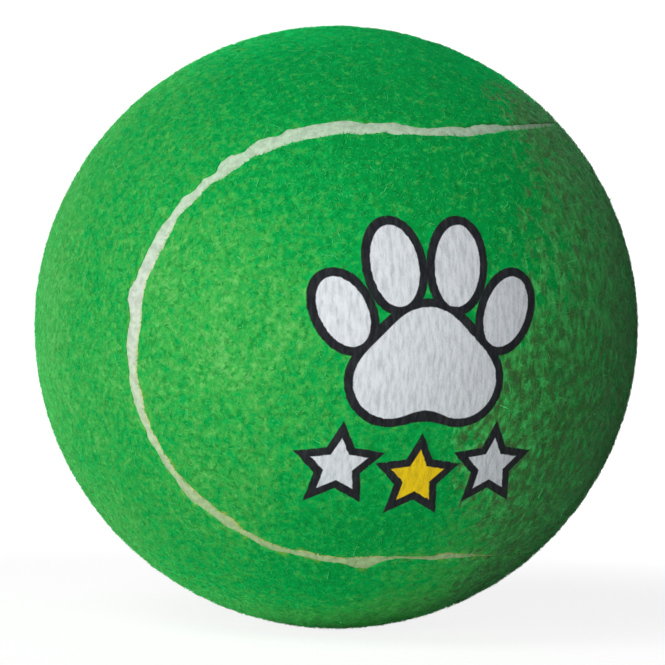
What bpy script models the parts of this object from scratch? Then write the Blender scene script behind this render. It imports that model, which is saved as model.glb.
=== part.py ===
"""Tennis ball, modelled as the separate pieces that it is made of.

Two rubber half shells, cemented at their rims, make the hollow core. Two felt
panels of one dumbbell shape, each on its own layer of cement, cover the core,
and a continuous strip of white rubber fills the seam between them.

The seam is four half circles, each 45 degrees from its axis: two about Z in
front of the plane x = 0, and two about Y behind it. Every covering piece is
therefore made of half turns, about Z and about Y, of one outline drawn in the
plane x = 0. Metres, +Z up, origin at the centre of the ball.
"""

import math

import bmesh
import bpy
from mathutils import Quaternion

# Sizes of the ball
BALL_DIAMETER = 0.0660
FELT_THICKNESS = 0.0030
FELT_EDGE_RADIUS = 0.0009
FELT_CEMENT_THICKNESS = 0.0003
SEAM_WIDTH = 0.0011
SEAM_DEPTH_BELOW_NAP = 0.0006
SEAM_CROWN = 0.0002
CORE_WALL = 0.0034
JOINT_CEMENT_THICKNESS = 0.0003
JOINT_BEAD_RADIUS = 0.0005
FIT_CLEARANCE = 0.0003

# Facets
FELT_TURN_STEPS = 30
FELT_OUTER_STEPS = 7
FELT_INNER_STEPS = 5
FELT_EDGE_STEPS = 3
CEMENT_TURN_STEPS = 18
CEMENT_ARC_STEPS = 4
SEAM_CROWN_STEPS = 3
CORE_TURN_STEPS = 40
CORE_OUTER_STEPS = 9
CORE_INNER_STEPS = 8
BEAD_STEPS = 5
MERGE_DISTANCE = 0.000001
SHARP_ANGLE = math.radians(40)

# The half circles of the seam are tangent to one another only at this angle
SEAM_ANGLE = math.radians(45)

# Radii of the layers, from the nap inwards
FELT_OUTER = BALL_DIAMETER / 2
FELT_INNER = FELT_OUTER - FELT_THICKNESS
FELT_CEMENT_OUTER = FELT_INNER - FIT_CLEARANCE
FELT_CEMENT_INNER = FELT_CEMENT_OUTER - FELT_CEMENT_THICKNESS
CORE_OUTER = FELT_CEMENT_INNER - FIT_CLEARANCE
CORE_INNER = CORE_OUTER - CORE_WALL

# The seam strip stands on the core, and its crown lies below the nap
SEAM_OUTER = FELT_OUTER - SEAM_DEPTH_BELOW_NAP
SEAM_INNER = CORE_OUTER + FIT_CLEARANCE
SEAM_HALF_ANGLE = (SEAM_WIDTH / 2) / SEAM_OUTER

# The panels and their cement stop at the clearance beside the strip
PANEL_EDGE_ANGLE = SEAM_ANGLE - SEAM_HALF_ANGLE - FIT_CLEARANCE / SEAM_OUTER

# Half the space between the rims of the core, which the joint cement fills
RIM_HEIGHT = JOINT_CEMENT_THICKNESS / 2 + FIT_CLEARANCE

AXIS_Y = (0, 1, 0)
AXIS_Z = (0, 0, 1)
CENTRE = (0, 0, 0)

# Linear colour, roughness
FINISHES = {
    "felt_green": ((0.040, 0.410, 0.075), 0.95),
    "seam_rubber_white": ((0.740, 0.760, 0.680), 0.70),
    "core_rubber_grey": ((0.045, 0.045, 0.050), 0.60),
    "latex_cement": ((0.560, 0.430, 0.230), 0.45),
}


def clear_scene():
    for thing in list(bpy.data.objects):
        bpy.data.objects.remove(thing, do_unlink=True)


def new_collection(name):
    collection = bpy.data.collections.new(name)
    bpy.context.scene.collection.children.link(collection)
    return collection


def new_material(name):
    colour, roughness = FINISHES[name]
    material = bpy.data.materials.new(name)
    material.use_nodes = True
    shader = material.node_tree.nodes["Principled BSDF"]
    shader.inputs["Base Color"].default_value = (*colour, 1.0)
    shader.inputs["Roughness"].default_value = roughness
    shader.inputs["Metallic"].default_value = 0.0
    material.diffuse_color = (*colour, 1.0)
    return material


def steps_between(start, end, steps):
    """Evenly spaced values from start to end, both included."""
    return [start + (end - start) * step / steps for step in range(steps + 1)]


def arc(radius, start, end, steps, centre=(0.0, 0.0)):
    """Points (y, z) of an arc. Its angles run from +Y towards +Z."""
    return [
        (centre[0] + radius * math.cos(angle), centre[1] + radius * math.sin(angle))
        for angle in steps_between(start, end, steps)
    ]


def felt_half_section():
    """Upper half of the felt's section, from the nap round its edge to the back."""
    fillet_centre_radius = FELT_OUTER - FELT_EDGE_RADIUS
    fillet_centre_angle = PANEL_EDGE_ANGLE - math.asin(FELT_EDGE_RADIUS / fillet_centre_radius)
    fillet_centre = (
        fillet_centre_radius * math.cos(fillet_centre_angle),
        fillet_centre_radius * math.sin(fillet_centre_angle),
    )
    side_direction = PANEL_EDGE_ANGLE + math.pi / 2
    nap = arc(FELT_OUTER, 0, fillet_centre_angle, FELT_OUTER_STEPS)
    edge = arc(FELT_EDGE_RADIUS, fillet_centre_angle, side_direction, FELT_EDGE_STEPS, fillet_centre)
    back = arc(FELT_INNER, PANEL_EDGE_ANGLE, 0, FELT_INNER_STEPS)
    return nap + edge[1:] + back


def felt_cement_half_section():
    """Upper half of the section of the cement layer behind a felt panel."""
    outer = arc(FELT_CEMENT_OUTER, 0, PANEL_EDGE_ANGLE, CEMENT_ARC_STEPS)
    inner = arc(FELT_CEMENT_INNER, PANEL_EDGE_ANGLE, 0, CEMENT_ARC_STEPS)
    return outer + inner


def seam_section():
    """Section of the seam strip: radial sides, a flat foot and a crowned top."""
    points = []
    for place in steps_between(-1, 1, SEAM_CROWN_STEPS):
        radius = SEAM_OUTER - SEAM_CROWN * place ** 2
        angle = SEAM_ANGLE + SEAM_HALF_ANGLE * place
        points.append((radius * math.cos(angle), radius * math.sin(angle)))
    for side in (1, -1):
        angle = SEAM_ANGLE + SEAM_HALF_ANGLE * side
        points.append((SEAM_INNER * math.cos(angle), SEAM_INNER * math.sin(angle)))
    return points


def add_outline(mesh_builder, points, closed):
    """Draw an outline of (y, z) points in the plane x = 0."""
    vertices = [mesh_builder.verts.new((0, y, z)) for y, z in points]
    edges = [mesh_builder.edges.new(pair) for pair in zip(vertices, vertices[1:])]
    if closed:
        edges.append(mesh_builder.edges.new((vertices[-1], vertices[0])))
    return vertices + edges


def half_turn(mesh_builder, outline, axis, direction, steps):
    """Turn an outline through 180 degrees and return the outline that it ends on."""
    turned = bmesh.ops.spin(
        mesh_builder,
        geom=outline,
        cent=CENTRE,
        axis=axis,
        angle=direction * math.pi,
        steps=steps,
    )
    return turned["geom_last"]


def closed_mesh(mesh_builder, name, material):
    """Weld the turned surfaces into one closed body with its faces outwards."""
    bmesh.ops.remove_doubles(mesh_builder, verts=mesh_builder.verts, dist=MERGE_DISTANCE)
    bmesh.ops.recalc_face_normals(mesh_builder, faces=mesh_builder.faces)
    mesh = bpy.data.meshes.new(name)
    mesh_builder.to_mesh(mesh)
    mesh_builder.free()
    mesh.materials.append(material)
    mesh.shade_smooth()
    mesh.set_sharp_from_angle(angle=SHARP_ANGLE)
    return mesh


def dumbbell_mesh(name, half_section, steps, material):
    """A panel: a waist turned about Z on the +X side, and a lobe about each end of Y."""
    mesh_builder = bmesh.new()
    lower_half = [(y, -z) for y, z in reversed(half_section[1:-1])]
    waist = add_outline(mesh_builder, half_section + lower_half, closed=True)
    half_turn(mesh_builder, waist, AXIS_Z, -1, steps)
    for side in (1, -1):
        lobe = add_outline(mesh_builder, [(side * y, z) for y, z in half_section], closed=False)
        half_turn(mesh_builder, lobe, AXIS_Y, -1, steps)
    return closed_mesh(mesh_builder, name, material)


def seam_mesh(name, material):
    """The strip: one section carried through four half turns, back to its start."""
    mesh_builder = bmesh.new()
    section = add_outline(mesh_builder, seam_section(), closed=True)
    for axis, direction in ((AXIS_Z, -1), (AXIS_Y, -1), (AXIS_Z, 1), (AXIS_Y, 1)):
        section = half_turn(mesh_builder, section, axis, direction, FELT_TURN_STEPS)
    return closed_mesh(mesh_builder, name, material)


def outline_mesh(name, points, closed, material):
    """A profile in the plane y = 0, at (radius, height), for a Screw modifier."""
    count = len(points)
    edges = [(index, index + 1) for index in range(count - 1)]
    if closed:
        edges.append((count - 1, 0))
    mesh = bpy.data.meshes.new(name)
    mesh.from_pydata([(radius, 0, height) for radius, height in points], edges, [])
    mesh.materials.append(material)
    return mesh


def core_half_profile():
    """Half shell: down the outside from the pole, across the flat rim, up the inside."""
    outer_rim_angle = math.asin(RIM_HEIGHT / CORE_OUTER)
    inner_rim_angle = math.asin(RIM_HEIGHT / CORE_INNER)
    outside = arc(CORE_OUTER, math.pi / 2, outer_rim_angle, CORE_OUTER_STEPS)
    inside = arc(CORE_INNER, inner_rim_angle, math.pi / 2, CORE_INNER_STEPS)
    return outside + inside


def joint_cement_profile():
    """Flat web between the rims, with the bead that is squeezed out inside the core."""
    web_half = JOINT_CEMENT_THICKNESS / 2
    neck_angle = math.asin(web_half / JOINT_BEAD_RADIUS)
    bead_centre = CORE_INNER - FIT_CLEARANCE - JOINT_BEAD_RADIUS
    bead = arc(
        JOINT_BEAD_RADIUS,
        -neck_angle,
        neck_angle - 2 * math.pi,
        BEAD_STEPS,
        centre=(bead_centre, 0.0),
    )
    return [(CORE_OUTER, web_half), (CORE_OUTER, -web_half)] + bead


def add_piece(collection, parent, name, mesh):
    piece = bpy.data.objects.new(name, mesh)
    piece.parent = parent
    collection.objects.link(piece)
    return piece


def add_screw(piece):
    """Turn a profile once round Z."""
    screw = piece.modifiers.new("turn", "SCREW")
    screw.axis = "Z"
    screw.angle = 2 * math.pi
    screw.steps = CORE_TURN_STEPS
    screw.render_steps = CORE_TURN_STEPS
    screw.use_merge_vertices = True
    screw.merge_threshold = MERGE_DISTANCE
    screw.use_smooth_shade = True


def add_core(collection, parent):
    """Two equal half shells, rim to rim, and the ring of cement between the rims."""
    rubber = new_material("core_rubber_grey")
    cement = bpy.data.materials["latex_cement"]
    shell = outline_mesh("core_half", core_half_profile(), False, rubber)
    for name, tilt in (("core_half_upper", 0), ("core_half_lower", math.pi)):
        half = add_piece(collection, parent, name, shell)
        half.rotation_euler.x = tilt
        add_screw(half)
    ring = outline_mesh("core_joint_cement", joint_cement_profile(), True, cement)
    add_screw(add_piece(collection, parent, "core_joint_cement", ring))


def add_pair(collection, parent, name, mesh):
    """Two copies of a dumbbell: the second is turned half round, about the line y = z."""
    add_piece(collection, parent, name + "_a", mesh)
    second = add_piece(collection, parent, name + "_b", mesh)
    second.rotation_mode = "QUATERNION"
    second.rotation_quaternion = Quaternion((0, 1, 1), math.pi)


def add_cover(collection, parent):
    """Cement, felt and seam strip over the core."""
    felt = new_material("felt_green")
    cement = bpy.data.materials["latex_cement"]
    seam_rubber = new_material("seam_rubber_white")
    cement_mesh = dumbbell_mesh(
        "felt_cement", felt_cement_half_section(), CEMENT_TURN_STEPS, cement
    )
    felt_mesh = dumbbell_mesh("felt_panel", felt_half_section(), FELT_TURN_STEPS, felt)
    add_pair(collection, parent, "felt_cement", cement_mesh)
    add_pair(collection, parent, "felt_panel", felt_mesh)
    add_piece(collection, parent, "seam_cement", seam_mesh("seam_cement", seam_rubber))


def main():
    clear_scene()
    collection = new_collection("tennis_ball")
    centre = bpy.data.objects.new("ball_centre", None)
    centre.empty_display_size = BALL_DIAMETER / 4
    collection.objects.link(centre)
    new_material("latex_cement")
    add_core(collection, centre)
    add_cover(collection, centre)
    bpy.context.view_layer.update()
    print(f"tennis ball: {len(collection.objects) - 1} pieces, {BALL_DIAMETER * 1000:.1f} mm across")


main()
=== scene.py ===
import math

import bmesh
import bpy
import numpy as np
from mathutils import Matrix, Quaternion, Vector, noise


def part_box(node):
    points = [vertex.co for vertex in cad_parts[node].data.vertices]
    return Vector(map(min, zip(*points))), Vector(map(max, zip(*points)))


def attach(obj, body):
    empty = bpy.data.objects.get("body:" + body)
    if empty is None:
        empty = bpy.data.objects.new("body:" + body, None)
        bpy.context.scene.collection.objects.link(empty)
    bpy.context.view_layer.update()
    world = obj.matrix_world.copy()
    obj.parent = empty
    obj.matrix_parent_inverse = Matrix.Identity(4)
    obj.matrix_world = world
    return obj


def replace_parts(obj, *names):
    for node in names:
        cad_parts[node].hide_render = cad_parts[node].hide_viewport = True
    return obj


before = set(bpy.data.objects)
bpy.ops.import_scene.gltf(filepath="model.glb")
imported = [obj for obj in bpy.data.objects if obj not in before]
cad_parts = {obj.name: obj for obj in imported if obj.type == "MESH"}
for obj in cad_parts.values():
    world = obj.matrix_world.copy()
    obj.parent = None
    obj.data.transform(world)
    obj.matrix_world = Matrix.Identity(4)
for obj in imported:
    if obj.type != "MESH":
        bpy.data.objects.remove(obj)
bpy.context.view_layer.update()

mm = 0.001
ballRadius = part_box("felt_panel_a")[1].y  # over the nap
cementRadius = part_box("felt_cement_a")[1].y  # what the felt lies on
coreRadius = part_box("core_half_upper")[1].z
cementGap = 0.3 * mm
mergeDistance = 0.001 * mm


def operators(operation):
    # the methods for wire + other and for other + wire, or another operation
    return (
        lambda wire, other: wire.maths(operation, wire, other),
        lambda wire, other: wire.maths(operation, other, wire),
    )


# One socket of a node tree. Sums and products of wires add Math nodes to the tree.
class Wire:
    __add__, __radd__ = operators("ADD")
    __sub__, __rsub__ = operators("SUBTRACT")
    __mul__, __rmul__ = operators("MULTIPLY")
    __truediv__, __rtruediv__ = operators("DIVIDE")

    def __init__(self, tree, socket):
        self.tree = tree
        self.socket = socket

    def maths(self, operation, *values):
        return self.tree.add("ShaderNodeMath", {"operation": operation}, values)

    def out(self, name):
        return Wire(self.tree, pickSocket(self.socket.node.outputs, name))


# A node tree. All its nodes come from add.
class Tree:
    def __init__(self, nodeTree):
        self.nodeTree = nodeTree

    def add(self, kind, settings=None, values=(), output=0):
        node = self.nodeTree.nodes.new(kind)
        for name, value in (settings or {}).items():
            if name == "stops":
                setStops(node.color_ramp, value)
            else:
                setattr(node, name, value)
        pairs = values.items() if isinstance(values, dict) else enumerate(values)
        for place, value in pairs:
            socket = pickSocket(node.inputs, place)
            if isinstance(value, Wire):
                self.nodeTree.links.new(value.socket, socket)
            else:
                socket.default_value = value
        return Wire(self, pickSocket(node.outputs, output)) if node.outputs else None

    def vector(self, x, y, z):
        return self.add("ShaderNodeCombineXYZ", values=(x, y, z))

    def vectorMaths(self, operation, *values):
        return self.add("ShaderNodeVectorMath", {"operation": operation}, values)

    def measure(self, operation, *values):
        return self.vectorMaths(operation, *values).out("Value")

    def scaled(self, vector, factor):
        values = {"Vector": vector, "Scale": factor}
        return self.add("ShaderNodeVectorMath", {"operation": "SCALE"}, values)

    def noise(self, place, scale, detail, roughness, output=0):
        values = {"Vector": place, "Scale": scale, "Detail": detail, "Roughness": roughness}
        return self.add("ShaderNodeTexNoise", {}, values, output)

    def ramp(self, stops, value):
        return self.add("ShaderNodeValToRGB", {"stops": stops}, {"Fac": value})

    def blend(self, share, first, second):
        values = {"Factor_Float": share, "A_Color": first, "B_Color": second}
        return self.add("ShaderNodeMix", {"data_type": "RGBA"}, values, "Result_Color")

    def step(self, value, low, high, start=0.0, end=1.0):
        # goes softly from start to end as the value goes from low to high
        ends = {"From Min": low, "From Max": high, "To Min": start, "To Max": end}
        settings = {"interpolation_type": "SMOOTHSTEP"}
        return self.add("ShaderNodeMapRange", settings, {"Value": value, **ends})


def pickSocket(sockets, place):
    if isinstance(place, int):
        return sockets[place]
    found = [socket for socket in sockets if socket.identifier == place]
    found += [socket for socket in sockets if socket.name == place]
    return found[0]


def setStops(ramp, stops):
    while len(ramp.elements) < len(stops):
        ramp.elements.new(1.0)
    for element, (place, colour) in zip(ramp.elements, stops):
        element.position = place
        element.color = (*colour, 1.0)


# These work on arrays and on wires alike, so one drawing serves the mesh and its colour.
def either(operation, onArrays):
    def work(first, *others):
        if isinstance(first, Wire):
            return first.maths(operation, first, *others)
        return onArrays(first, *others)

    return work


least, most = either("MINIMUM", np.minimum), either("MAXIMUM", np.maximum)
above, floorOf = either("GREATER_THAN", np.greater), either("FLOOR", np.floor)
rootOf, sizeOf = either("SQRT", np.sqrt), either("ABSOLUTE", np.abs)
sineOf, cosineOf = either("SINE", np.sin), either("COSINE", np.cos)
angleOf, growthOf = either("ARCTAN2", np.arctan2), either("EXPONENT", np.exp)


def between(value, low, high):
    return least(most(value, low), high)


def addObject(name, data):
    added = bpy.data.objects.new(name, data)
    bpy.context.scene.collection.objects.link(added)
    return added


# The camera stands far off, a little above the ball's middle, with a slight roll.
cameraValues = {
    "azimuth": math.radians(-3.7),
    "elevation": math.radians(4.4),
    "roll": math.radians(1.8),
    "distance": 40.0,  # in ball radii
    "framePixels": 665,
    "ballPixels": 302.3,  # radius of the ball in the frame
    "ballRight": 3.4,  # pixels from the middle of the frame to the ball's centre
    "ballUp": 5.4,
    "sensor": 36.0,
    "clipStart": 0.05,
    "clipEnd": 20.0,
}


def cameraAxes():
    azimuth, elevation, roll = (cameraValues[key] for key in ("azimuth", "elevation", "roll"))
    back = Vector((
        math.sin(azimuth) * math.cos(elevation),
        -math.cos(azimuth) * math.cos(elevation),
        math.sin(elevation),
    ))
    level = Vector((math.cos(azimuth), math.sin(azimuth), 0))
    turn = Quaternion(back, roll)
    return turn @ level, turn @ back.cross(level), back


def addCamera():
    right, up, back = cameraAxes()
    values = cameraValues
    pixel = ballRadius / values["ballPixels"]
    place = back * values["distance"] * ballRadius
    place -= right * values["ballRight"] * pixel + up * values["ballUp"] * pixel
    data = bpy.data.cameras.new("camera")
    data.sensor_width = values["sensor"]
    pixelFocus = values["ballPixels"] * math.sqrt(values["distance"] ** 2 - 1)
    data.lens = pixelFocus / values["framePixels"] * values["sensor"]
    data.clip_start = values["clipStart"]
    data.clip_end = values["clipEnd"]
    camera = addObject("camera", data)
    axes = Matrix((right, up, back)).transposed().to_4x4()
    camera.matrix_world = Matrix.Translation(place) @ axes
    bpy.context.scene.camera = camera
    return right, up, back


cameraRight, cameraUp, cameraBack = addCamera()
print("camera set")


# A place on the seam is counted in the half circles that it runs through. The camera sees
# places 0.6 to 2.3.
seamArcs = 4
seamValues = {
    "angle": math.radians(45),
    # place: (reach towards panel b, reach towards panel a), from the middle line in mm, all
    # in hundredths
    "reaches": {
        42: (0, 0), 56: (10, 2), 60: (36, 10), 68: (58, 10), 74: (52, 20), 76: (85, 30),
        80: (80, 60), 82: (40, 85), 85: (60, 80), 89: (30, 70), 91: (50, 60), 94: (110, 60),
        96: (105, 35), 99: (90, 75), 101: (135, 60), 104: (120, 80), 108: (105, 80),
        110: (125, 80), 111: (75, 75), 114: (130, 95), 116: (100, 60), 117: (60, 75),
        119: (125, 85), 121: (110, 75), 122: (30, 95), 123: (45, 40), 124: (90, 45),
        126: (45, 55), 128: (110, 45), 131: (80, 20), 133: (105, 65), 138: (110, 65),
        141: (120, 35), 144: (185, 45), 147: (85, 85), 151: (120, 55), 155: (95, 15),
        156: (125, 5), 159: (120, 35), 160: (120, 8), 164: (85, 0), 165: (120, 15),
        167: (80, 10), 170: (100, 15), 171: (80, 5), 176: (130, 45), 178: (80, 62),
        180: (75, 50), 182: (90, 85), 184: (60, 15), 186: (62, 40), 188: (95, 18),
        190: (90, 14), 192: (60, 25), 194: (48, 52), 197: (80, 25), 200: (92, 8),
        202: (170, 28), 204: (185, 38), 206: (55, 50), 208: (2, 48), 211: (2, 40),
        214: (38, 52), 216: (15, 100), 218: (8, 68), 220: (3, 60), 223: (0, 28), 226: (-2, 0),
        250: (0, 0),
    },
    # the stretch that the camera doesn't see is as uneven
    "unseen": {
        "from": 2.54, "to": 4.40, "step": 0.025, "narrow": 0.05, "wide": 1.05, "seed": 4,
    },
    "soften": 0.003,  # how far along the seam its edges are evened out
    "softenStep": 0.002,
    "softenSteps": 30,  # to each side
    "wobble": 0.12,  # mm, finer unevenness of each edge
    "wobbleScale": 1500.0,
    "wobbleShift": 7.0,  # so that the two edges differ
    "wobbleOctaves": (0.6, 2.0, 3),  # fall, gain in fineness, and count
    "top": 0.34,  # mm that the strip's crown lies below the nap
    "crown": 0.08,
    "tuck": 0.15,  # mm that the strip goes under the felt on each side
    "steps": 1600,
    "acrossSteps": 8,
    "nearby": 0.001,  # how far apart on the seam its direction is taken
    "relief": 0.035,
    "reliefScale": 1500.0,
    "reliefOctaves": (1.0, 2.0, 2),
    "stain": (0.6, 0.45, 0.12, 1.0),  # of the edge towards panel a
    "stainReach": 0.28,  # mm
    "stainShare": 0.85,
    "stainMiddle": 0.75,  # at the height of the ball's middle, and more under it
}


def seamDirection(place):
    # the unit vector towards each place on the seam
    arc = np.floor(place).astype(int) % seamArcs
    turn = (place % 1.0) * math.pi
    ring, rise = math.sin(seamValues["angle"]), math.cos(seamValues["angle"])
    aside, ahead = ring * np.sin(turn), ring * np.cos(turn)
    level = np.full_like(turn, rise)
    x = np.choose(arc, (aside, -aside, aside, -aside))
    y = np.choose(arc, (ahead, -level, -ahead, level))
    z = np.choose(arc, (level, ahead, -level, -ahead))
    return np.stack((x, y, z), -1)


def evenOut(side):
    # a smooth curve through one side's reaches, read by place
    reaches = seamValues["reaches"].items()
    table = {place / 100: reach[side] / 100 for place, reach in reaches}
    unseen = seamValues["unseen"]
    chance = np.random.default_rng(unseen["seed"] + side)
    for place in np.arange(unseen["from"], unseen["to"], unseen["step"]):
        table[place % seamArcs] = chance.uniform(unseen["narrow"], unseen["wide"])
    step, steps = seamValues["softenStep"], seamValues["softenSteps"]
    places = np.arange(0, seamArcs, step)
    values = np.interp(places, list(table), list(table.values()), period=seamArcs)
    away = np.arange(-steps, steps + 1) * step
    weights = np.exp(-0.5 * (away / seamValues["soften"]) ** 2)
    wrapped = np.concatenate((values[-steps:], values, values[:steps]))
    smooth = np.convolve(wrapped, weights / weights.sum(), "valid")
    return lambda place: np.interp(place, places, smooth, period=seamArcs) * mm


reachB, reachA = evenOut(0), evenOut(1)


def edgeReach(place, side):
    # distance from the seam's middle line to the felt; side is 1 for panel a and -1 for b
    values = seamValues
    spots = seamDirection(place) * ballRadius * values["wobbleScale"]
    spots += values["wobbleShift"] * side
    height = np.array([noise.fractal(Vector(spot), *values["wobbleOctaves"]) for spot in spots])
    smooth = reachA(place) if side > 0 else reachB(place)
    return smooth + height * values["wobble"] * mm


def meshObject(name, vertices, faces, material, layers):
    # a mesh object with float values on its points, doubles merged and faces turned outwards
    mesh = bpy.data.meshes.new(name)
    mesh.from_pydata(vertices.tolist(), [], faces)
    for layer, values in layers.items():
        attribute = mesh.attributes.new(layer, "FLOAT", "POINT")
        attribute.data.foreach_set("value", np.asarray(values, np.float32))
    builder = bmesh.new()
    builder.from_mesh(mesh)
    bmesh.ops.remove_doubles(builder, verts=builder.verts, dist=mergeDistance)
    bmesh.ops.recalc_face_normals(builder, faces=builder.faces)
    builder.to_mesh(mesh)
    builder.free()
    mesh.materials.append(material)
    mesh.shade_smooth()
    return addObject(name, mesh)


# The print stands in its own plane, in mm: u to the right, v up, as the camera sees it.
printValues = {
    "right": 0.30,  # place of its middle on the ball, in ball radii from the ball's centre
    "up": -0.085,
    "outline": 0.95,
    # middle and radius of each lobe
    "pad": ((-3.9, -3.0, 4.1), (3.9, -3.0, 4.1), (0.0, 0.2, 4.7)),
    "padBlend": 3.0,
    # middle, half width, half height and lean of each toe
    "toes": (
        (-9.1, 4.3, 2.5, 3.9, 0.42), (-3.5, 9.2, 2.6, 4.3, 0.12),
        (3.5, 9.2, 2.6, 4.3, -0.12), (9.1, 4.3, 2.5, 3.9, -0.42),
    ),
    "stars": ((-8.6, -12.4), (0.0, -13.6), (8.6, -12.4)),
    "starTip": 3.1,
    "starNotch": 1.55,
    "starOutline": 0.85,
    "raise": 0.14,  # mm that the inked nap stands over the felt's skin
    "slope": 0.5,  # mm over which it rises
    "pressed": 0.85,  # share of the felt's unevenness that the print presses flat
    "margin": 0.15,  # mm round the print where no fibre stands
    "edgeSoftness": 0.06,  # mm
    "edgeNoise": 0.10,  # mm
    "trembleNoise": (1600.0, 2.0, 0.5),  # each noise has a scale, detail and roughness
    "streaks": (2.2, 0.5),  # to a mm, across and up
    "streakNoise": (1.0, 3.0, 0.65),
    "wornRange": (0.35, 0.75),
    "roughness": 0.85,
    "specular": 0.10,
    "white": (0.74, 0.77, 0.82),
    "whiteWorn": (0.5, 0.53, 0.58),
    "black": (0.01, 0.011, 0.014),
    "blackWorn": (0.028, 0.03, 0.034),
    "yellow": (0.95, 0.66, 0.012),
    "yellowWorn": (0.72, 0.47, 0.012),
}


def printAxes():
    # right, up and outward directions of the print's plane
    right, up = printValues["right"], printValues["up"]
    out = cameraRight * right + cameraUp * up
    out += cameraBack * math.sqrt(1 - right ** 2 - up ** 2)
    side = cameraUp.cross(out).normalized()
    return side, out.cross(side), out


printRight, printUp, printOut = printAxes()
printMiddle = [(printOut * ballRadius).dot(axis) / mm for axis in (printRight, printUp)]
nearZero = 0.001


def ellipseDistance(u, v, middleU, middleV, halfWidth, halfHeight, lean):
    c, s = math.cos(lean), math.sin(lean)
    x = (u - middleU) * c + (v - middleV) * s
    y = (v - middleV) * c - (u - middleU) * s
    near = rootOf(x * x / halfWidth ** 2 + y * y / halfHeight ** 2)
    slope = rootOf(x * x / halfWidth ** 4 + y * y / halfHeight ** 4)
    return near * (near - 1.0) / (slope + nearZero)


def padDistance(u, v):
    # three circles, melted into one rounded pad
    distance, *circles = (
        rootOf((u - middleU) * (u - middleU) + (v - middleV) * (v - middleV)) - radius
        for middleU, middleV, radius in printValues["pad"]
    )
    melt = printValues["padBlend"]
    for circle in circles:
        near = most(melt - sizeOf(distance - circle), 0.0) / melt
        distance = least(distance, circle) - near * near * (melt / 4)
    return distance


def starDistance(u, v, middleU, middleV):
    # one straight side of a five-pointed star, repeated round its middle
    tip, notch = printValues["starTip"], printValues["starNotch"]
    wedge = 2 * math.pi / 5
    x, y = u - middleU, v - middleV
    angle = angleOf(x, y) / wedge + 0.5
    angle = sizeOf((angle - floorOf(angle) - 0.5) * wedge)
    reach = rootOf(x * x + y * y)
    across, along = reach * sineOf(angle), reach * cosineOf(angle)
    sideU = notch * math.sin(wedge / 2)
    sideV = notch * math.cos(wedge / 2) - tip
    length = math.hypot(sideU, sideV)
    return ((along - tip) * sideU - across * sideV) / length


def printDistances(u, v):
    # distance in mm from the edge of the white shapes, of the yellow star and of the black
    white = padDistance(u, v)
    for toe in printValues["toes"]:
        white = least(white, ellipseDistance(u, v, *toe))
    black = white - printValues["outline"]
    stars = [starDistance(u, v, *middle) for middle in printValues["stars"]]
    for star in stars:
        black = least(black, star - printValues["starOutline"])
    white = least(least(white, stars[0]), stars[2])
    return white, stars[1], black


def printPlane(along):
    # u, v in mm and how far they face the print, of places that along reads along an axis
    u, v = (along(axis) / mm - middle for axis, middle in zip((printRight, printUp), printMiddle))
    return u, v, along(printOut)


# The skin is the felt's dense body. The nap's fibres stand on it.
skinValues = {
    "depth": 0.23,  # mm that the skin lies below the top of the nap
    "edgeRadius": 0.22,
    "turnSteps": 290,
    "outerSteps": 50,
    "edgeSteps": 4,
    "innerSteps": 5,
    "relief": 0.09,
    "reliefScale": 620.0,
    "reliefOctaves": (1.0, 2.0, 3),
    "fineRelief": 0.05,
    "fineScale": 1500.0,
    "leastNap": 0.3,  # no fibre stands further down the rounded edge
    "edgeRoom": 0.65,  # mm that fibres may reach past the felt's edge
    "printRoom": 0.8,  # how much of the way to the print they may take
    "fullRoom": 1.1,  # mm of room that a fibre of full length needs
    "leastLength": 0.16,
}
bedLayers = ("napDensity", "napLength", "stain")  # what the skin tells the nap, by point


def skinSection():
    # half a section from the middle of the nap, over the edge, to the middle of the back.
    # Each point is at share * edge angle - inset, at a radius, with so much nap
    outer = ballRadius - skinValues["depth"] * mm
    edge = skinValues["edgeRadius"] * mm
    rows = []
    for step in range(skinValues["outerSteps"] + 1):
        share = step / skinValues["outerSteps"]
        rows.append((share, share * edge / outer, outer, 1.0))
    for step in range(1, skinValues["edgeSteps"] + 1):
        turn = step / skinValues["edgeSteps"] * math.pi / 2
        inset = edge * (1 - math.sin(turn)) / outer
        rows.append((1.0, inset, outer - edge * (1 - math.cos(turn)), math.cos(turn)))
    for step in range(skinValues["innerSteps"], -1, -1):
        rows.append((step / skinValues["innerSteps"], 0.0, cementRadius + cementGap, 0.0))
    return np.array(rows).T


def gridFaces(rows, columns, first, closed, looped=False):
    # quads between neighbouring rows of points; a closed row's ends meet, looped rows' too
    faces = []
    for row in range(rows if looped else rows - 1):
        start, beyond = first + row * columns, first + (row + 1) % rows * columns
        for column in range(columns if closed else columns - 1):
            after = (column + 1) % columns
            faces.append((start + column, start + after, beyond + after, beyond + column))
    return faces


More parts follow.
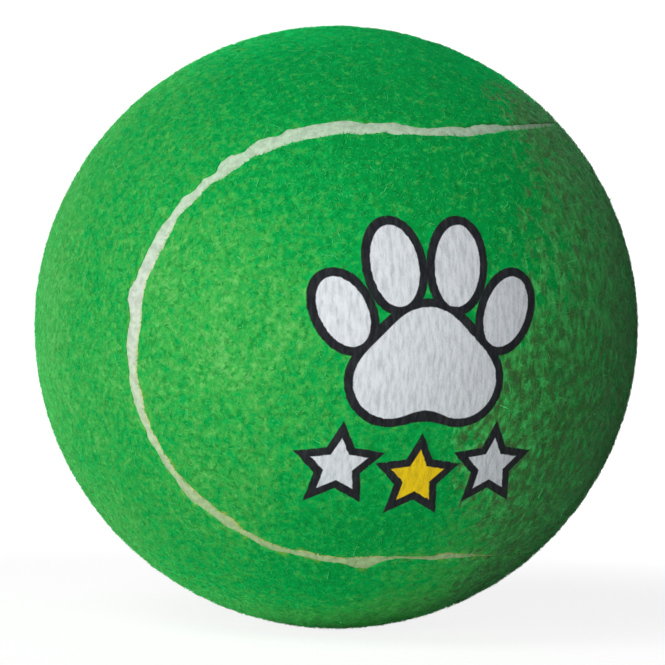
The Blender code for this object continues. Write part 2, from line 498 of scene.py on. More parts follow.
def buildSkin(name, material, side, edges, turn):
    # a waist of half circles about Z, and a lobe about each end of Y, turned into place
    share, inset, radius, nap = skinSection()
    steps = skinValues["turnSteps"] + 1
    turns = np.linspace(0, 1, steps)
    reaches = [edgeReach((start + way * turns) % seamArcs, side) for start, way in edges]
    limits = [
        np.repeat(seamValues["angle"] - reach[:, None] / ballRadius, len(share), 1)
        for reach in reaches
    ]
    points, edgeDistance, naps, faces = [], [], [], []

    def toPoint(angle, spin, end):
        # on the waist where end is 0, or else on the lobe about that end of Y
        level, rise = np.cos(angle), np.sin(angle)
        if end == 0:
            return np.stack((level * math.sin(spin), level * math.cos(spin), rise), -1)
        return np.stack((-rise * math.sin(spin), end * level, rise * math.cos(spin)), -1)

    def addGrid(end, limit, angles, radii, napRow):
        first = sum(len(block) for block in points)
        for row in range(steps):
            points.append(toPoint(angles[row], turns[row] * math.pi, end) * radii[:, None])
            edgeDistance.append((limit[row] - np.abs(angles[row])) * ballRadius)
            naps.append(napRow)
        faces.extend(gridFaces(steps, len(radii), first, end == 0))

    def thereAndBack(out, back):
        return np.concatenate((out, back[..., -2:0:-1]), -1)

    upper, lower, *lobes = limits
    angles = thereAndBack(share * upper - inset, inset - share * lower)
    limit, radii = thereAndBack(upper, lower), thereAndBack(radius, radius)
    addGrid(0, limit, angles, radii, thereAndBack(nap, nap))
    for end, limit in zip((-1, 1), lobes):
        addGrid(end, limit, share * limit - inset, radius, nap)

    vertices = np.concatenate(points) @ np.array(turn.to_matrix()).T
    edgeDistance = np.concatenate(edgeDistance)
    naps = np.concatenate(naps)
    vertices, density, length = raiseNap(vertices, naps, edgeDistance)
    stain = np.clip(1 - edgeDistance / mm / feltTones["stainReach"], 0, 1)
    # the rubber is more yellow towards the ball's underside
    height = vertices[:, 2] / ballRadius
    stain *= np.clip(feltTones["stainMiddle"] - height, feltTones["leastStain"], 1)
    stain *= feltTones["stainShares"][side]
    layers = dict(zip(bedLayers, (density, length, stain)))
    return meshObject(name, vertices, faces, material, layers)


def raiseNap(vertices, naps, edgeDistance):
    # uneven felt, pressed flat and raised under the print
    values = skinValues
    u, v, facing = printPlane(lambda axis: vertices @ np.array(axis))
    ink = printDistances(u, v)[2]
    inked = np.clip(0.5 - ink / printValues["slope"], 0, 1) * (facing > 0)
    scale, octaves = values["reliefScale"], values["reliefOctaves"]
    rough = np.array([noise.fractal(Vector(p) * scale, *octaves) for p in vertices])
    small = np.array([noise.noise(Vector(p) * values["fineScale"]) for p in vertices])
    height = rough * values["relief"] + small * values["fineRelief"]
    height = height * (1 - printValues["pressed"] * inked) + printValues["raise"] * inked
    vertices = vertices * (1 + height * naps * mm / ballRadius)[:, None]
    clear = (ink > printValues["margin"]) | (facing < 0)
    density = (naps > values["leastNap"]) * clear
    toPrint = np.where(facing > 0, ink * values["printRoom"], np.inf)
    room = np.minimum(edgeDistance / mm + values["edgeRoom"], toPrint)
    length = np.clip(room / values["fullRoom"], values["leastLength"], 1)
    return vertices, density, length


def emptyTree(owner):
    owner.use_nodes = True
    owner.node_tree.nodes.clear()
    return Tree(owner.node_tree)


def newMaterial(name):
    material = bpy.data.materials.new(name)
    return material, emptyTree(material)


def shade(tree, colour, values):
    # values that are the same all over are set on the shader itself
    return tree.add("ShaderNodeBsdfPrincipled", {}, {"Base Color": colour, **values})


def addBump(tree, strength, height, pattern):
    values = {"Strength": strength, "Distance": height * mm, "Height": pattern}
    return tree.add("ShaderNodeBump", {}, values)


def finish(tree, shader):
    tree.add("ShaderNodeOutputMaterial", {}, {"Surface": shader})


feltTones = {
    "stops": (
        (0.15, (0.001, 0.3, 0.052)),
        (0.4, (0.004, 0.375, 0.07)),
        (0.65, (0.05, 0.42, 0.07)),
        (0.9, (0.13, 0.52, 0.125)),
    ),
    # painted shade, greyer and browner than the felt, from its darkest spots to its lighter ones
    "shadeStops": (
        (0.0, (0.058, 0.145, 0.04)),
        (0.5, (0.055, 0.385, 0.075)),
        (1.0, (0.072, 0.6, 0.145)),
    ),
    "pale": (0.15, 0.85, 0.3, 1.0),  # of single straying fibres
    "paleShares": {"stray": 0.26, "hair": 0.50},
    "pit": (0.004, 0.225, 0.03),  # painted shade in the nap's small hollows, where the skin shows between fibres
    "straw": (0.42, 0.42, 0.03, 1.0),  # cement that soaked into the felt's edges
    "stainReach": 0.65,  # mm
    "stainShares": {1: 1.0, -1: 0.5},  # on panel a and on panel b
    "stainMiddle": 0.45,  # at the height of the ball's middle, and more under it
    "leastStain": 0.1,
    "stainNoise": (700.0, 3.0, 0.5),
    "stainRange": (0.48, 0.70),
    "roughness": 0.95,
    "specular": 0.03,
    "sheen": 1.0,
    "sheenTint": (0.005, 0.8, 0.195, 1.0),
    "paintedLightSheen": 1.0,
    "paintedLightSheenTint": (0.1, 0.8, 0.18, 1.0),
    "paintedLightTones": (0.30, 0.75),  # between them the sheen turns from the plain felt's to that of felt made pale by painted light
    "paintedShadeSheen": 0.9,
    "paintedShadeSheenTint": (0.2, 0.49, 0.23, 1.0),
    "tone": 0.34,
    "patchNoise": (1200.0, 2.0, 0.65),
    "patchContrast": 1.25,
    "darkContrast": 9.0,  # how much more contrast the felt has where painted shade darkens it
    "broadNoise": (160.0, 1.0, 0.5),
    "broadContrast": 1.2,
    "pitNoise": (1500.0, 1.5, 0.5),
    "pitRange": (0.52, 0.69),
    "pitShadeShare": 0.7,
    "fuzzNoise": (4200.0, 3.0, 0.7),
    "fuzzStrength": 0.75,
    "fuzzHeight": 0.10,  # mm
    # patches of painted light: a direction, a reach in radians, and how much paler the felt is
    # painted there; a strength below zero paints shade instead. They paint light on the lit left
    # front, along the left rims and under the ball
    "paintedLight": (
        (-0.76, -0.64, 0.05, 1.2, 0.25), (-0.42, -0.89, 0.17, 0.42, 0.11),
        (-0.35, -0.84, 0.4, 0.35, -0.06), (-0.1, -0.88, 0.46, 0.25, 0.06),
        (-1.0, 0.05, 0.0, 0.62, 0.22), (-0.71, 0.12, -0.69, 0.62, 0.34),
        (-0.64, -0.62, -0.46, 0.25, -0.07), (-0.75, -0.57, 0.33, 0.35, -0.06),
        (-0.75, 0.25, 0.61, 0.55, 0.34), (-0.46, -0.15, 0.87, 0.4, 0.12),
        (0.7, -0.05, 0.71, 0.6, -0.17), (0.11, -0.68, 0.72, 0.9, -0.13),
        (-0.69, -0.28, 0.66, 0.5, -0.03), (-0.48, -0.57, -0.66, 0.5, 0.04),
        (0.5, -0.35, -0.79, 0.62, 0.3), (0.06, -0.68, -0.73, 0.45, -0.08),
        (0.0, 0.05, -1.0, 0.72, 0.36), (0.55, 0.6, 0.58, 0.8, 0.25),
        (-0.45, 0.62, -0.64, 0.9, 0.25),
    ),
    # and how far the felt is painted with shade there: on the right side, under the ball and at
    # the back
    "paintedShade": (
        (0.98, -0.15, -0.08, 1.25, 1.0), (0.72, -0.08, 0.69, 0.7, 0.24),
        (0.58, -0.3, 0.76, 0.25, 0.35), (0.55, -0.79, -0.25, 0.42, 0.6),
        (0.71, -0.05, -0.7, 0.6, 0.4), (0.1, -0.05, -0.99, 0.6, 0.3),
        (0.3, -0.55, -0.78, 0.5, 0.25), (0.6, -0.28, -0.75, 0.3, 0.3),
        (-0.3, 0.9, 0.3, 0.9, 1.0),
    ),
    # patches of darker painted shade, most near the right rim, and at the back
    "darkerShade": (
        (0.98, -0.1, -0.12, 0.66, 0.34), (0.99, 0.05, -0.1, 0.6, 0.3),
        (0.75, -0.45, -0.49, 0.45, 0.2), (0.6, -0.22, 0.77, 0.38, 0.2),
        (0.6, -0.77, -0.2, 0.38, 0.2), (0.6, -0.25, -0.76, 0.28, 0.2),
        (-0.2, 0.95, 0.25, 0.6, 0.3),
    ),
    "soilNoise": (1000.0, 2.0, 0.6),
    "shadedRange": (0.55, 0.85),
    "grimeNoise": (1400.0, 1.5, 0.5),
    "shadeMottleContrast": 4.0,
    "streaked": (1.0, 1.0, 0.5),  # the painted shade's spots are drawn out up and down
    "patchCore": 0.4,  # share of a patch's reach where it has its full strength
}


def patchShare(tree, place, patches):
    # the sum of soft-edged patches
    share = 0.0
    for x, y, z, reach, strength in patches:
        near = tree.measure("DOT_PRODUCT", place, (x, y, z)) / ballRadius
        core = math.cos(feltTones["patchCore"] * reach)
        share = tree.step(near, math.cos(reach), core, 0.0, strength) + share
    return share


def streakedNoise(tree, place, kind):
    place = tree.vectorMaths("MULTIPLY", place, feltTones["streaked"])
    return tree.noise(place, *feltTones[kind + "Noise"])


def paintedShadeShare(tree, place):
    # 0 to 1, how far the felt is painted with shade, with unshaded felt between its spots
    height = streakedNoise(tree, place, "soil") * 2.0 - 1.0
    # painted shade in patches on the right side, under the ball and at the back
    height = height + patchShare(tree, place, feltTones["paintedShade"])
    return tree.step(height, *feltTones["shadedRange"])


def shadeLightness(tree, place):
    # 0 to 1 from the darkest spots of the painted shade to the lighter ones
    height = streakedNoise(tree, place, "grime") - 0.5
    height = height * feltTones["shadeMottleContrast"] + 0.5
    return between(height - patchShare(tree, place, feltTones["darkerShade"]), 0.0, 1.0)


def spotShare(tree, place, kind):
    # where the nap has a small hollow or pit, or may have a stain
    spots = tree.noise(place, *feltTones[kind + "Noise"])
    return tree.step(spots, *feltTones[kind + "Range"])


def feltTone(tree, place):
    # mottled felt, painted paler in patches as painted light, and darker where a patch paints
    # shade
    patches = tree.noise(place, *feltTones["patchNoise"]) - 0.5
    broad = tree.noise(place, *feltTones["broadNoise"]) - 0.5
    # painted light in patches, and painted shade where a patch's strength is below zero
    paintedLight = patchShare(tree, place, feltTones["paintedLight"])
    tone = paintedLight * (broad * feltTones["broadContrast"] + 1.0) + feltTones["tone"]
    contrast = feltTones["patchContrast"] - least(paintedLight, 0.0) * feltTones["darkContrast"]
    return tone + patches * contrast


def feltColour(tree, place, tone, paintedShade):
    soil = tree.ramp(feltTones["shadeStops"], shadeLightness(tree, place))
    # painted shade: greyer, browner and darker felt where its patches lie
    green = tree.blend(paintedShade, tree.ramp(feltTones["stops"], tone), soil)
    # painted shade: the skin is darker where the nap has a hollow
    pitShade = spotShare(tree, place, "pit") * feltTones["pitShadeShare"]
    return tree.blend(pitShade, green, (*feltTones["pit"], 1.0))


def feltShader(tree, colour, tone, paintedShade, values):
    # along the ball's rim felt made pale by painted light shines more yellow, and felt under
    # painted shade less green
    unshaded, paintedLight, shadedFelt = (
        shade(tree, colour, {
            "Specular IOR Level": feltTones["specular"],
            "Sheen Weight": feltTones[weight],
            "Sheen Tint": feltTones[weight + "Tint"],
            **values,
        })
        for weight in ("sheen", "paintedLightSheen", "paintedShadeSheen")
    )
    # felt made pale by painted light takes the yellower sheen
    share = tree.step(tone, *feltTones["paintedLightTones"])
    unshaded = tree.add("ShaderNodeMixShader", {}, (share, unshaded, paintedLight))
    return tree.add("ShaderNodeMixShader", {}, (paintedShade, unshaded, shadedFelt))


def skinMaterial():
    material, tree = newMaterial("feltSkinGreen")
    place = tree.add("ShaderNodeTexCoord", output="Object")
    paintedShade = paintedShadeShare(tree, place)
    tone = feltTone(tree, place)
    green = feltColour(tree, place, tone, paintedShade)
    stain = tree.add("ShaderNodeAttribute", {"attribute_name": "stain"}, output="Fac")
    stain = stain * spotShare(tree, place, "stain")
    green = tree.blend(stain, green, feltTones["straw"])
    u, v, facing = printPlane(lambda axis: tree.measure("DOT_PRODUCT", place, tuple(axis)))
    facing = above(facing, 0.0)
    tremble = tree.noise(place, *printValues["trembleNoise"]) - 0.5
    tremble = tremble * (2 * printValues["edgeNoise"])
    soft = printValues["edgeSoftness"]
    white, yellow, black = (
        tree.step(distance, -soft, soft, 1.0, 0.0) * facing
        for distance in printDistances(u + tremble, v + tremble)
    )
    across, up = printValues["streaks"]
    streaks = tree.noise(tree.vector(u * across, v * up, 0.0), *printValues["streakNoise"])
    worn = tree.step(streaks, *printValues["wornRange"])
    inks = {
        ink: tree.blend(worn, (*printValues[ink], 1.0), (*printValues[ink + "Worn"], 1.0))
        for ink in ("white", "yellow", "black")
    }
    ink = tree.blend(yellow, tree.blend(white, inks["black"], inks["white"]), inks["yellow"])
    fuzz = tree.noise(place, *feltTones["fuzzNoise"])
    bump = addBump(tree, feltTones["fuzzStrength"], feltTones["fuzzHeight"], fuzz)
    rough = feltTones["roughness"]
    felt = feltShader(tree, green, tone, paintedShade, {"Roughness": rough, "Normal": bump})
    inked = shade(tree, ink, {
        "Roughness": printValues["roughness"],
        "Specular IOR Level": printValues["specular"],
        "Normal": bump,
    })
    finish(tree, tree.add("ShaderNodeMixShader", {}, (black, felt, inked)))
    return material


# Fibres read their tone and how far up the fibre a point is from their own map.
fibreValues = {
    "map": "OFBake",
    "shadeTones": 0.09,  # the tones under it are those of painted shade
    "shadeEnd": 0.108,
    "unshadedTones": (0.144, 0.88),
    "stainTone": 0.97,
    "rootShadeReach": 0.6,  # share of a fibre's length that has painted shade, darker towards its root
    "rootShadeShare": 0.20,
    "roughness": 0.85,
}


def fibreMaterial(name, pale):
    material, tree = newMaterial(name)
    values = fibreValues
    places = tree.add("ShaderNodeUVMap", {"uv_map": values["map"]})
    parts = tree.add("ShaderNodeSeparateXYZ", values=(places,))
    across, up = parts.out("X"), parts.out("Y")
    tones = (
        *((place * values["shadeTones"], colour) for place, colour in feltTones["shadeStops"]),
        *feltTones["stops"],
        (1.0, feltTones["straw"][:3]),
    )
    tone = tree.blend(pale, tree.ramp(tones, across), feltTones["pale"])
    # painted shade along each fibre, darkest at its root
    rootShade = tree.step(up, 0.0, values["rootShadeReach"], values["rootShadeShare"], 0.0)
    colour = tree.blend(rootShade, tone, (*feltTones["stops"][0][1], 1.0))
    # fibres with the lowest tones carry the painted shade
    paintedShade = tree.step(across, values["shadeTones"], values["shadeEnd"], 1.0, 0.0)
    finish(tree, feltShader(tree, colour, across, paintedShade, {"Roughness": values["roughness"]}))
    return material


# Layers of the nap. Density is fibres to a square mm, lengths are in mm, lean is in radians
# from upright, and height is how far the fibres may stand over the skin. A layer's last
# value is how far its fibres are lit as the skin under them is.
# Each layer's ninth value is how many of its fibres take the painted shade's colour where it
# lies.
napInputs = (
    "Density", "Length", "Width", "Lean", "Curl", "Height", "Tone", "Spread", "Soiling",
    "Pitted", "Segments", "Seed",
)
napLayers = {
    "under": (3.3, 0.42, 0.078, 1.15, 0.4, 0.14, -0.04, 0.02, 1.0, 0.9, 2, 11, 0.96),
    "body": (3.3, 0.48, 0.075, 1.15, 0.4, 0.19, 0.0, 0.02, 0.9, 0.9, 2, 23, 0.95),
    "upper": (3.3, 0.55, 0.07, 1.05, 0.5, 0.25, 0.01, 0.03, 0.85, 0.8, 2, 31, 0.94),
    "top": (2.2, 0.7, 0.058, 1.0, 0.6, 0.31, 0.02, 0.03, 0.7, 0.7, 2, 37, 0.9),
    "stray": (2.4, 0.45, 0.095, 1.1, 0.4, 0.32, 0.06, 0.1, 1.0, 0.5, 2, 53, 0.92),
    "hair": (0.03, 1.5, 0.08, 1.3, 1.3, 0.42, 0.05, 0.05, 0.1, 0.0, 8, 71, 0.8),
}
# what all layers share
napValues = {
    "lumpNoise": (1400.0, 2.0, 0.6),  # unevenness of how the nap is lit
    "lumpDepth": 1.15,
    "paintedShadeLumpDepth": 2.6,
    "lightnessSpread": 0.18,  # by which fibres under painted shade differ in lightness
    "lightnessRange": (0.1, 0.9),
    "lengths": (0.6, 1.35),  # shares of the layer's length
    "paintedShadeLonger": 0.9,
    "leans": (0.7, 1.2),
    "driftScale": 900.0,  # of the flow that bends the fibres
    "driftNoise": (1.0, 1.0, 0.5),
    "twist": 100.0,  # differs from fibre to fibre
    "twistShare": 0.25,  # of it that the fibre reads the flow away from its place
    "bend": 2.0,
    "mapWidth": 0.008,
    "mapHeight": 0.94,
    "mapStart": 0.03,
}
perSquareMm = 1e6


def buildNapTree(material):
    group = bpy.data.node_groups.new("feltNap", "GeometryNodeTree")
    kinds = {"Geometry": "Geometry", "Segments": "Int", "Seed": "Int"}
    for name in ("Geometry", *napInputs):
        kind = "NodeSocket" + kinds.get(name, "Float")
        group.interface.new_socket(name, in_out="INPUT", socket_type=kind)
    group.interface.new_socket("Geometry", in_out="OUTPUT", socket_type="NodeSocketGeometry")
    tree = Tree(group)
    values = napValues
    given = tree.add("NodeGroupInput").out
    seed = given("Seed")

    def chance(low, high, salt):
        limits = {"Min_001": low, "Max_001": high, "Seed": seed + salt}
        return tree.add("FunctionNodeRandomValue", {"data_type": "FLOAT"}, limits, "Value_001")

    def remember(geometry, name, value, kind="FLOAT", domain="POINT"):
        settings = {"data_type": kind, "domain": domain}
        stored = {"Geometry": geometry, "Name": name, "Value": value}
        return tree.add("GeometryNodeStoreNamedAttribute", settings, stored)

    def recall(name):
        kind = {"data_type": "FLOAT"}
        return tree.add("GeometryNodeInputNamedAttribute", kind, {"Name": name}, "Attribute")

    # one fibre: a three-sided cone, fattened along its length
    cone = tree.add("GeometryNodeMeshCone", {"fill_type": "NGON"}, {
        "Vertices": 3, "Side Segments": given("Segments"), "Fill Segments": 1,
        "Radius Top": 0.0, "Radius Bottom": 0.5, "Depth": 1.0,
    })
    place = tree.add("GeometryNodeInputPosition")
    parts = tree.add("ShaderNodeSeparateXYZ", values=(place,))
    along = parts.out("Z")
    fat = along * along + along + 1.0
    shaped = tree.add("GeometryNodeSetPosition", {}, {
        "Geometry": remember(remember(cone, "along", along), "side", parts.out("Y")),
        "Position": tree.vector(parts.out("X") * fat, parts.out("Y") * fat, along),
    })

    # where the fibres stand, and how each one leans
    spots = tree.add("GeometryNodeDistributePointsOnFaces", {"distribute_method": "RANDOM"}, {
        "Mesh": given("Geometry"),
        "Density": given("Density") * recall("napDensity") * perSquareMm,
        "Seed": seed,
    })
    normal = spots.out("Normal")
    bare = above(spotShare(tree, place, "pit") * given("Pitted"), chance(0.0, 1.0, 8))
    spots = tree.add(
        "GeometryNodeDeleteGeometry", {"domain": "POINT"}, {"Geometry": spots, "Selection": bare}
    )
    lumps = tree.noise(place, *values["lumpNoise"], "Color")
    lumps = tree.vectorMaths("SUBTRACT", lumps, (0.5, 0.5, 0.5))
    # fibres under the painted shade take its colour, and are lit with deeper lumps
    shadeShare = paintedShadeShare(tree, place)
    depth = shadeShare * (values["paintedShadeLumpDepth"] - values["lumpDepth"]) + values["lumpDepth"]
    bedNormal = tree.vectorMaths("ADD", normal, tree.scaled(lumps, depth))
    tone = given("Tone") + feltTone(tree, place)
    tone = tone + chance(-1.0, 1.0, 1) * given("Spread")
    tone = between(tone, *fibreValues["unshadedTones"])
    paintedShade = above(shadeShare * given("Soiling"), chance(0.0, 1.0, 6))
    lightness = shadeLightness(tree, place) + chance(-values["lightnessSpread"], values["lightnessSpread"], 7)
    soil = between(lightness, *values["lightnessRange"]) * fibreValues["shadeTones"]
    tone = tone + (soil - tone) * paintedShade
    stained = recall("stain") * spotShare(tree, place, "stain")
    spots = remember(spots, "tone", tone + (fibreValues["stainTone"] - tone) * stained)
    spots = remember(spots, "twist", chance(0.0, values["twist"], 2))
    spots = remember(spots, "bedNormal", bedNormal, "FLOAT_VECTOR")
    spots = remember(spots, "bed", tree.measure("LENGTH", place))
    length = given("Length") * chance(*values["lengths"], 3) * recall("napLength") * mm
    length = length * (shadeShare * values["paintedShadeLonger"] + 1.0)
    spots = remember(spots, "length", length)
    upright = tree.add("FunctionNodeAlignRotationToVector", {"axis": "Z"}, {"Vector": place})

    def turned(rotation, x, y, z):
        turn = tree.add("FunctionNodeEulerToRotation", {}, (tree.vector(x, y, z),))
        local = {"rotation_space": "LOCAL"}
        return tree.add("FunctionNodeRotateRotation", local, (rotation, turn))

    lean = given("Lean") * chance(*values["leans"], 4)
    rotation = turned(turned(upright, 0.0, 0.0, chance(0.0, 2 * math.pi, 5)), 0.0, lean, 0.0)
    width = given("Width") * mm
    fibres = tree.add("GeometryNodeInstanceOnPoints", {}, {
        "Points": spots, "Instance": shaped, "Rotation": rotation,
        "Scale": tree.vector(width, width, recall("length")),
    })
    fibres = tree.add("GeometryNodeRealizeInstances", {}, (fibres,))

    # bend each fibre by a wandering flow, and press what stands too high
    drift = tree.vector(recall("twist") * values["twistShare"], 0.0, 0.0)
    drift = tree.vectorMaths("ADD", tree.scaled(place, values["driftScale"]), drift)
    flow = tree.noise(drift, *values["driftNoise"], "Color")
    flow = tree.vectorMaths("SUBTRACT", flow, (0.5, 0.5, 0.5))
    bend = recall("along") * recall("along") * recall("length") * given("Curl")
    pull = tree.scaled(flow, bend * values["bend"])
    bent = tree.add("GeometryNodeSetPosition", {}, {"Geometry": fibres, "Offset": pull})
    reach = tree.measure("LENGTH", place)
    base = recall("bed")
    height = given("Height") * mm
    over = (reach - base) / height
    pressed = base + height * (1.0 - growthOf(over * -1.0))
    share = above(over, 0.0)
    lowered = tree.scaled(place, (pressed / reach) * share + (1.0 - share))
    bent = tree.add("GeometryNodeSetPosition", {}, {"Geometry": bent, "Position": lowered})

    # the fibre's own map: its tone across, root to tip upwards
    mapU = recall("tone") + recall("side") * values["mapWidth"]
    mapV = recall("along") * values["mapHeight"] + values["mapStart"]
    spot = tree.vector(mapU, mapV, 0.0)
    mapped = remember(bent, fibreValues["map"], spot, "FLOAT2", "CORNER")
    for name in ("along", "side", "tone", "twist", "length", "bed", *bedLayers):
        mapped = tree.add("GeometryNodeRemoveAttribute", {}, {"Geometry": mapped, "Name": name})
    smooth = {"Geometry": mapped, "Shade Smooth": True}
    smooth = tree.add("GeometryNodeSetShadeSmooth", {}, smooth)
    dressed = {"Geometry": smooth, "Material": material}
    dressed = tree.add("GeometryNodeSetMaterial", {}, dressed)
    tree.add("NodeGroupOutput", {}, {"Geometry": dressed})
    return group


def softenNormals(mesh, softness):
    # fibres are lit partly as the skin under them is, which makes the nap look soft
    beds, normals = (np.empty(len(mesh.vertices) * 3, np.float32) for _ in range(2))
    mesh.attributes["bedNormal"].data.foreach_get("vector", beds)
    mesh.vertex_normals.foreach_get("vector", normals)
    normals = (beds * softness + normals * (1 - softness)).reshape(-1, 3)
    normals /= np.linalg.norm(normals, axis=1)[:, None]
    mesh.normals_split_custom_set_from_vertices(normals)
    mesh.attributes.remove(mesh.attributes["bedNormal"])


def growNap(name, skin, group, layer):
    # the layer's fibres as a plain mesh object
    bed = addObject("napBed", skin.data)
    modifier = bed.modifiers.new("nap", "NODES")
    modifier.node_group = group
    *inputs, softness = napLayers[layer]
    values = dict(zip(napInputs, inputs))
    for item in group.interface.items_tree:
        if item.item_type == "SOCKET" and item.in_out == "INPUT" and item.name in values:
            modifier[item.identifier] = values[item.name]
    graph = bpy.context.evaluated_depsgraph_get()
    mesh = bpy.data.meshes.new_from_object(bed.evaluated_get(graph))
    bpy.data.objects.remove(bed)
    mesh.name = name
    softenNormals(mesh, softness)
    return addObject(name, mesh)


def buildSeam(material):
    # the strip's section, carried along the seam and closed on itself
    values = seamValues
    places = np.arange(values["steps"]) / values["steps"] * seamArcs
    middle = seamDirection(places)
    ahead = seamDirection((places + values["nearby"]) % seamArcs)
    ahead -= seamDirection((places - values["nearby"]) % seamArcs)
    ahead /= np.linalg.norm(ahead, axis=1)[:, None]
    side = np.cross(middle, ahead)  # towards panel a
    tuck = values["tuck"] * mm
    towardsA = edgeReach(places, 1) + tuck
    towardsB = edgeReach(places, -1) + tuck
    foot = coreRadius + cementGap
    crown = ballRadius - values["top"] * mm
    rows = [
        (across, crown - values["crown"] * mm * across ** 2)
        for across in np.linspace(-1, 1, values["acrossSteps"] + 1)
    ]
    rows += [(1, foot), (-1, foot)]
    points, stains, scale = [], [], values["reliefScale"]
    for place in range(values["steps"]):
        for across, radius in rows:
            share = (across + 1) / 2
            angle = (towardsA[place] * share - towardsB[place] * (1 - share)) / ballRadius
            direction = middle[place] * math.cos(angle) + side[place] * math.sin(angle)
            spot = direction * radius
            if radius > foot:
                height = noise.fractal(Vector(spot) * scale, *values["reliefOctaves"])
                spot = spot * (1 + height * values["relief"] * mm / ballRadius)
            points.append(spot)
            inside = (towardsA[place] - tuck - angle * ballRadius) / mm
            stain = min(max(1 - inside / values["stainReach"], 0), 1)
            stains.append(stain * min(max(values["stainMiddle"] - middle[place][2], 0), 1))
    faces = gridFaces(values["steps"], len(rows), 0, closed=True, looped=True)
    return meshObject("seamStrip", np.array(points), faces, material, {"stain": stains})


rubberValues = {
    # light and dark colour, scale of the mottling, roughness, height of the grain in mm
    "kinds": {
        "seamRubberWhite": ((0.6, 0.67, 0.58), (0.44, 0.5, 0.43), 1300.0, 0.7, 0.06),
        "coreRubberGrey": ((0.05, 0.05, 0.055), (0.028, 0.028, 0.031), 260.0, 0.6, 0.08),
        "latexCement": ((0.58, 0.45, 0.25), (0.42, 0.3, 0.15), 180.0, 0.45, 0.1),
    },
    # tints of the seam's rubber by height, from the ball's underside up: darker and yellow
    # underneath, white at the ball's middle, a little darker and greener above
    "seamTints": (
        (0.2, (0.74, 0.9, 0.52)),
        (0.42, (0.93, 1.0, 0.84)),
        (0.56, (1.0, 1.0, 1.0)),
        (0.76, (0.84, 0.99, 0.84)),
    ),
    "mottling": (4.0, 0.6),  # detail and roughness of the noise
    "mottlingRange": (0.35, 0.68),
    "grainScale": 4,  # times the mottling's
    "grain": (3.0, 0.6),
    "grainRange": (0.3, 0.7),
    "grainStrength": 0.6,
    "roughnessSpread": 0.08,
    "specular": 0.35,
}


def rubberMaterial(name, tints=None):
    material, tree = newMaterial(name)
    values = rubberValues
    light, dark, scale, roughness, grainHeight = values["kinds"][name]
    place = tree.add("ShaderNodeTexCoord", output="Object")
    mottling = tree.noise(place, scale, *values["mottling"])
    mottling = tree.step(mottling, *values["mottlingRange"])
    colour = tree.blend(mottling, (*light, 1.0), (*dark, 1.0))
    if tints:
        parts = tree.add("ShaderNodeSeparateXYZ", values=(place,))
        height = parts.out("Z") / (2 * ballRadius) + 0.5
        colour = tree.vectorMaths("MULTIPLY", colour, tree.ramp(tints, height))
        stain = tree.add("ShaderNodeAttribute", {"attribute_name": "stain"}, output="Fac")
        colour = tree.blend(stain * seamValues["stainShare"], colour, seamValues["stain"])
    grain = tree.noise(place, scale * values["grainScale"], *values["grain"])
    spread = values["roughnessSpread"]
    rough = tree.step(grain, *values["grainRange"], roughness - spread, roughness + spread)
    finish(tree, shade(tree, colour, {
        "Roughness": rough,
        "Normal": addBump(tree, values["grainStrength"], grainHeight, grain),
        "Specular IOR Level": values["specular"],
    }))
    return material


stageValues = {
    "floorRadius": 6.0,
    "floorColour": (0.92, 0.92, 0.92, 1.0),
    "floorCorners": 96,
    "plain": (0.064, 0.16, 0.7),  # start, end and first share of the turn to plain white
    "glow": 1.22,
    "ambient": 0.04,
    "ambientColour": (0.95, 0.98, 1.0, 1.0),
    # soft boxes: angle to the left of the camera, angle above level, width, height, power
    # and colour
    "lamps": {
        "keyLamp": (35, 4, 0.3, 0.14, 3.3, (1.0, 0.985, 0.93)),
        "frontLamp": (8, 6, 0.35, 0.16, 1.9, (1.0, 1.0, 1.0)),
        "upperLamp": (30, 42, 0.5, 0.5, 3.5, (0.98, 1.0, 1.0)),
        "backLamp": (180, 12, 0.5, 0.3, 1.8, (1.0, 1.0, 1.0)),
    },
    "lampDistance": 0.9,
}


def addLamp(name, side, rise, width, height, power, colour):
    data = bpy.data.lights.new(name, "AREA")
    data.shape = "RECTANGLE"
    data.size, data.size_y = width, height
    data.energy, data.color = power, colour
    side, rise = math.radians(side), math.radians(rise)
    away = cameraBack * math.cos(side) - cameraRight * math.sin(side)
    away = away * math.cos(rise) + cameraUp * math.sin(rise)
    lamp = addObject(name, data)
    lamp.location = away * stageValues["lampDistance"]
    lamp.rotation_mode = "QUATERNION"
    lamp.rotation_quaternion = away.to_track_quat("Z", "Y")


def seenDirectly(tree):
    path = tree.add("ShaderNodeLightPath")
    seen = path.out("Is Camera Ray") + path.out("Is Glossy Ray") + path.out("Is Transmission Ray")
    return least(seen, 1.0)


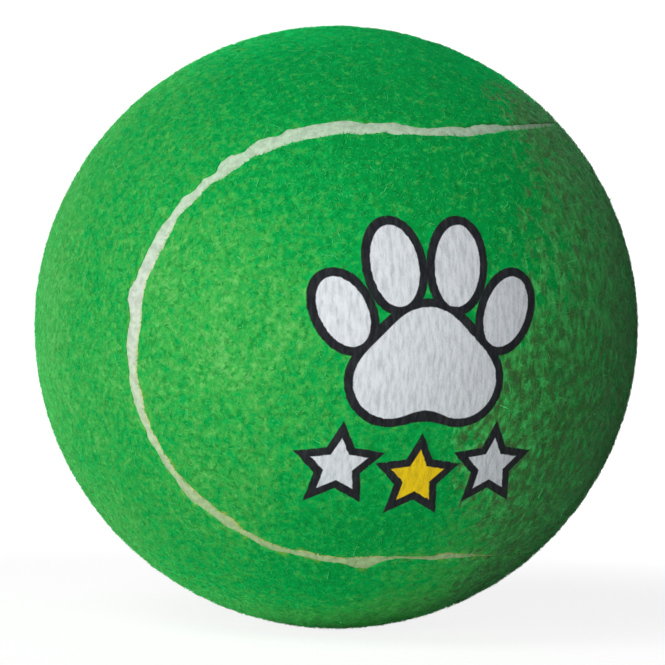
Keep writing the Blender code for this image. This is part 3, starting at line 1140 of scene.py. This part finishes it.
def addStage():
    world = bpy.data.worlds.new("studio")
    bpy.context.scene.world = world
    tree = emptyTree(world)
    values, white = stageValues, (1.0, 1.0, 1.0, 1.0)
    seen = seenDirectly(tree)
    strength = values["ambient"] + seen * (1.0 - values["ambient"])
    colour = tree.blend(seen, values["ambientColour"], white)
    light = tree.add("ShaderNodeBackground", {}, {"Color": colour, "Strength": strength})
    tree.add("ShaderNodeOutputWorld", {}, {"Surface": light})

    material, tree = newMaterial("paleFloor")
    place = tree.add("ShaderNodeTexCoord", output="Object")
    away = tree.measure("LENGTH", place)
    plain = tree.step(away, *values["plain"])
    diffuse = tree.add("ShaderNodeBsdfDiffuse", {}, {"Color": values["floorColour"]})
    glow = tree.add("ShaderNodeEmission", {}, {"Color": white, "Strength": values["glow"]})
    finish(tree, tree.add("ShaderNodeMixShader", {}, (plain * seenDirectly(tree), diffuse, glow)))
    bpy.ops.mesh.primitive_circle_add(
        vertices=values["floorCorners"], radius=values["floorRadius"], fill_type="NGON",
        location=(0, 0, -ballRadius),
    )
    floor = bpy.context.object
    floor.name = "floor"
    floor.data.materials.append(material)
    for name, lamp in values["lamps"].items():
        addLamp(name, *lamp)
    bpy.context.scene.view_settings.view_transform = "Standard"


addStage()
print("stage set")

# Which places on the seam bound each panel: the waist's upper and lower edge, then the lobes.
panels = {
    "a": {"side": 1, "edges": ((0, 1), (3, -1), (1, 1), (4, -1)), "turn": Quaternion()},
    "b": {
        "side": -1,
        "edges": ((4, -1), (1, 1), (3, -1), (0, 1)),
        "turn": Quaternion((0, 1, 1), math.pi),
    },
}
skinGreen = skinMaterial()
napGroup = buildNapTree(fibreMaterial("feltFibreGreen", 0.0))
paleGroups = {
    layer: buildNapTree(fibreMaterial("feltFibre" + layer.capitalize(), share))
    for layer, share in feltTones["paleShares"].items()
}
for letter, panel in panels.items():
    skin = buildSkin("feltSkin_" + letter, skinGreen, **panel)
    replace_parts(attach(skin, "root"), "felt_panel_" + letter)
    for layer in napLayers:
        group = paleGroups.get(layer, napGroup)
        nap = growNap("feltNap_" + layer + "_" + letter, skin, group, layer)
        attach(nap, "root")
print("felt grown")

strip = buildSeam(rubberMaterial("seamRubberWhite", rubberValues["seamTints"]))
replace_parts(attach(strip, "root"), "seam_cement")
print("seam laid")

innerNodes = {
    "coreRubberGrey": ("core_half_upper", "core_half_lower"),
    "latexCement": ("core_joint_cement", "felt_cement_a", "felt_cement_b"),
}
for kind, names in innerNodes.items():
    rubber = rubberMaterial(kind)
    for name in names:
        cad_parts[name].material_slots[0].material = rubber
print("inner pieces finished")
